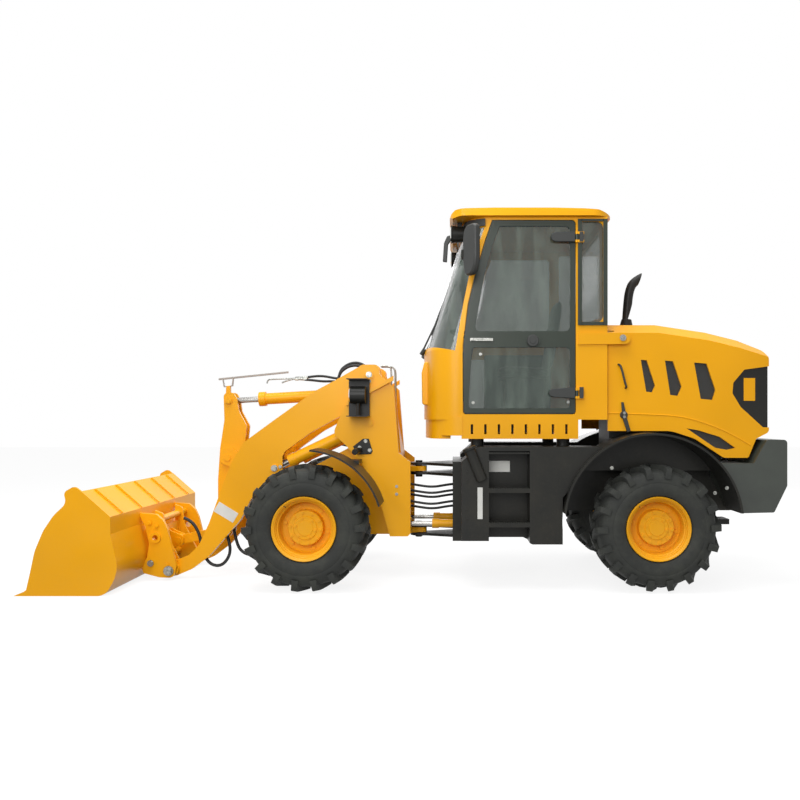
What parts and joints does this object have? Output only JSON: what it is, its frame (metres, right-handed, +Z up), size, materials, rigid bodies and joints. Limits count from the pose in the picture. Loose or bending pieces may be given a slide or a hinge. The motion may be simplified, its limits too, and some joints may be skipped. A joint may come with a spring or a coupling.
{
  "type": "wheel loader",
  "caption": "Compact articulated wheel loader with Z-linkage bucket boom, quick coupler, hollow cab with opening door, tilting rear hood and counterweight.",
  "frame": {"origin": "centre of the machine's footprint box, on the ground", "axes": "+X forward towards the bucket, +Y to the machine's left, +Z up"},
  "size_m": [6.229, 2, 3.15],
  "materials": {
    "yellow_paint": "semi-gloss",
    "rim_paint": "semi-gloss",
    "tyre_rubber": "matte",
    "black_paint": "satin",
    "counterweight_grey": "satin",
    "engine_grey": "matte",
    "cab_window": "clear",
    "edge_steel": "worn",
    "chrome_rod": "polished",
    "seat_cover": "woven",
    "trim_plastic": "matte"
  },
  "bodies": {
    "rear_frame": {"rear_chassis": "black_paint", "rear_axle": "black_paint", "side_box_left": "black_paint", "side_box_right": "black_paint", "rear_fenders": "black_paint", "counterweight": "counterweight_grey", "engine_block": "engine_grey", "cab_shell": "yellow_paint", "cab_glass": "cab_window", "cab_roof": "yellow_paint", "cab_skirt": "yellow_paint", "cab_mounts": "black_paint", "seat": "seat_cover", "steering_column": "trim_plastic", "side_console": "trim_plastic", "hood_straps": "yellow_paint", "hood_cowl": "yellow_paint", "exhaust_pipe": "black_paint"},
    "front_frame": {"tower_frame": "yellow_paint", "front_axle": "black_paint", "front_fenders": "black_paint", "headlamps": "black_paint"},
    "boom": {"arm_left": "yellow_paint", "arm_right": "yellow_paint", "cross_tube": "yellow_paint"},
    "bell_crank": {"bell_crank": "yellow_paint"},
    "tilt_link": {"tilt_link": "yellow_paint"},
    "bucket": {"coupler": "yellow_paint", "bucket_shell": "yellow_paint", "cutting_edge": "edge_steel"},
    "tilt_barrel": {"tilt_barrel": "yellow_paint"},
    "tilt_rod": {"tilt_rod": "chrome_rod"},
    "door_left": {"door_frame": "yellow_paint", "door_glass": "cab_window"},
    "hood": {"hood_shell": "yellow_paint", "hood_grille": "black_paint", "vent_screens": "black_paint"},
    "lift_barrel_left": {"lift_barrel_left": "yellow_paint"},
    "lift_rod_left": {"lift_rod_left": "chrome_rod"},
    "steer_barrel_left": {"steer_barrel_left": "yellow_paint"},
    "steer_rod_left": {"steer_rod_left": "chrome_rod"},
    "wheel_front_left": {"tyre_front_left": "tyre_rubber", "rim_front_left": "rim_paint"},
    "wheel_rear_left": {"tyre_rear_left": "tyre_rubber", "rim_rear_left": "rim_paint"},
    "lift_barrel_right": {"lift_barrel_right": "yellow_paint"},
    "lift_rod_right": {"lift_rod_right": "chrome_rod"},
    "steer_barrel_right": {"steer_barrel_right": "yellow_paint"},
    "steer_rod_right": {"steer_rod_right": "chrome_rod"},
    "wheel_front_right": {"tyre_front_right": "tyre_rubber", "rim_front_right": "rim_paint"},
    "wheel_rear_right": {"tyre_rear_right": "tyre_rubber", "rim_rear_right": "rim_paint"}
  },
  "joints": [
    {"name": "steer", "type": "hinge", "parent": "rear_frame", "child": "front_frame", "pos_m": [-0.0505, 0, 0.7], "axis": [0, 0, 1], "range_deg": [-35, 35]},
    {"name": "boom_lift", "type": "hinge", "parent": "front_frame", "child": "boom", "pos_m": [0.3655, 0, 1.786], "axis": [0, -1, 0], "range_deg": [0, 83]},
    {"name": "bucket_tilt", "type": "hinge", "parent": "boom", "child": "bucket", "pos_m": [2.0855, 0, 0.09], "axis": [0, -1, 0], "range_deg": [-125, 45]},
    {"name": "door_left_open", "type": "hinge", "parent": "rear_frame", "child": "door_left", "pos_m": [-1.3865, 0.716, 2.2], "axis": [0, 0, 1], "range_deg": [0, 90]},
    {"name": "hood_open", "type": "hinge", "parent": "rear_frame", "child": "hood", "pos_m": [-1.7675, 0, 2.071], "axis": [0, 1, 0], "range_deg": [0, 40]},
    {"name": "bell_crank_turn", "type": "hinge", "parent": "boom", "child": "bell_crank", "pos_m": [1.6845, 0, 1.048], "axis": [0, -1, 0], "range_deg": [-7.5, 20.5]},
    {"name": "tilt_link_turn", "type": "hinge", "parent": "bucket", "child": "tilt_link", "pos_m": [2.1495, 0, 0.29], "axis": [0, -1, 0], "range_deg": [-30.5, 84]},
    {"name": "tilt_barrel_turn", "type": "hinge", "parent": "front_frame", "child": "tilt_barrel", "pos_m": [0.3895, 0, 1.64], "axis": [0, -1, 0], "range_deg": [0, 80]},
    {"name": "tilt_rod_slide", "type": "slide", "parent": "tilt_barrel", "child": "tilt_rod", "axis": [0.9983, 0, -0.0578], "range_m": [-0.182, 0.066]},
    {"name": "lift_barrel_left_turn", "type": "hinge", "parent": "front_frame", "child": "lift_barrel_left", "pos_m": [0.3605, 0.295, 1.366], "axis": [0, -1, 0], "range_deg": [0, 78]},
    {"name": "lift_rod_left_slide", "type": "slide", "parent": "lift_barrel_left", "child": "lift_rod_left", "axis": [0.904, 0, -0.4276], "range_m": [0, 0.56]},
    {"name": "steer_barrel_left_turn", "type": "hinge", "parent": "rear_frame", "child": "steer_barrel_left", "pos_m": [-0.5705, 0.23, 0.47], "axis": [0, 0, 1], "range_deg": [-4.5, 4.5]},
    {"name": "steer_rod_left_slide", "type": "slide", "parent": "steer_barrel_left", "child": "steer_rod_left", "axis": [1, 0, 0], "range_m": [-0.136, 0.136]},
    {"name": "lift_barrel_right_turn", "type": "hinge", "parent": "front_frame", "child": "lift_barrel_right", "pos_m": [0.3605, -0.295, 1.366], "axis": [0, -1, 0], "range_deg": [0, 78]},
    {"name": "lift_rod_right_slide", "type": "slide", "parent": "lift_barrel_right", "child": "lift_rod_right", "axis": [0.904, 0, -0.4276], "range_m": [0, 0.56]},
    {"name": "steer_barrel_right_turn", "type": "hinge", "parent": "rear_frame", "child": "steer_barrel_right", "pos_m": [-0.5705, -0.23, 0.47], "axis": [0, 0, 1], "range_deg": [-4.5, 4.5]},
    {"name": "steer_rod_right_slide", "type": "slide", "parent": "steer_barrel_right", "child": "steer_rod_right", "axis": [1, 0, 0], "range_m": [-0.136, 0.136]},
    {"name": "wheel_front_left_spin", "type": "hinge", "parent": "front_frame", "child": "wheel_front_left", "pos_m": [0.8345, 0.74, 0.515], "axis": [0, 1, 0], "continuous": true},
    {"name": "wheel_front_right_spin", "type": "hinge", "parent": "front_frame", "child": "wheel_front_right", "pos_m": [0.8345, -0.74, 0.515], "axis": [0, 1, 0], "continuous": true},
    {"name": "wheel_rear_left_spin", "type": "hinge", "parent": "rear_frame", "child": "wheel_rear_left", "pos_m": [-2.0155, 0.74, 0.515], "axis": [0, 1, 0], "continuous": true},
    {"name": "wheel_rear_right_spin", "type": "hinge", "parent": "rear_frame", "child": "wheel_rear_right", "pos_m": [-2.0155, -0.74, 0.515], "axis": [0, 1, 0], "continuous": true}
  ],
  "couplings": [
    {"joint": "bell_crank_turn", "follows": "bucket_tilt", "ratio": -0.16},
    {"joint": "tilt_link_turn", "follows": "bucket_tilt", "ratio": -0.67},
    {"joint": "tilt_rod_slide", "follows": "bucket_tilt", "m_per_rad": 0.0827},
    {"joint": "tilt_barrel_turn", "follows": "boom_lift", "ratio": 0.955},
    {"joint": "lift_barrel_left_turn", "follows": "boom_lift", "ratio": 0.93},
    {"joint": "lift_rod_left_slide", "follows": "boom_lift", "m_per_rad": 0.385},
    {"joint": "steer_barrel_left_turn", "follows": "steer", "ratio": 0.122},
    {"joint": "steer_rod_left_slide", "follows": "steer", "m_per_rad": -0.2207},
    {"joint": "lift_barrel_right_turn", "follows": "boom_lift", "ratio": 0.93},
    {"joint": "lift_rod_right_slide", "follows": "boom_lift", "m_per_rad": 0.385},
    {"joint": "steer_barrel_right_turn", "follows": "steer", "ratio": 0.122},
    {"joint": "steer_rod_right_slide", "follows": "steer", "m_per_rad": 0.2207}
  ]
}
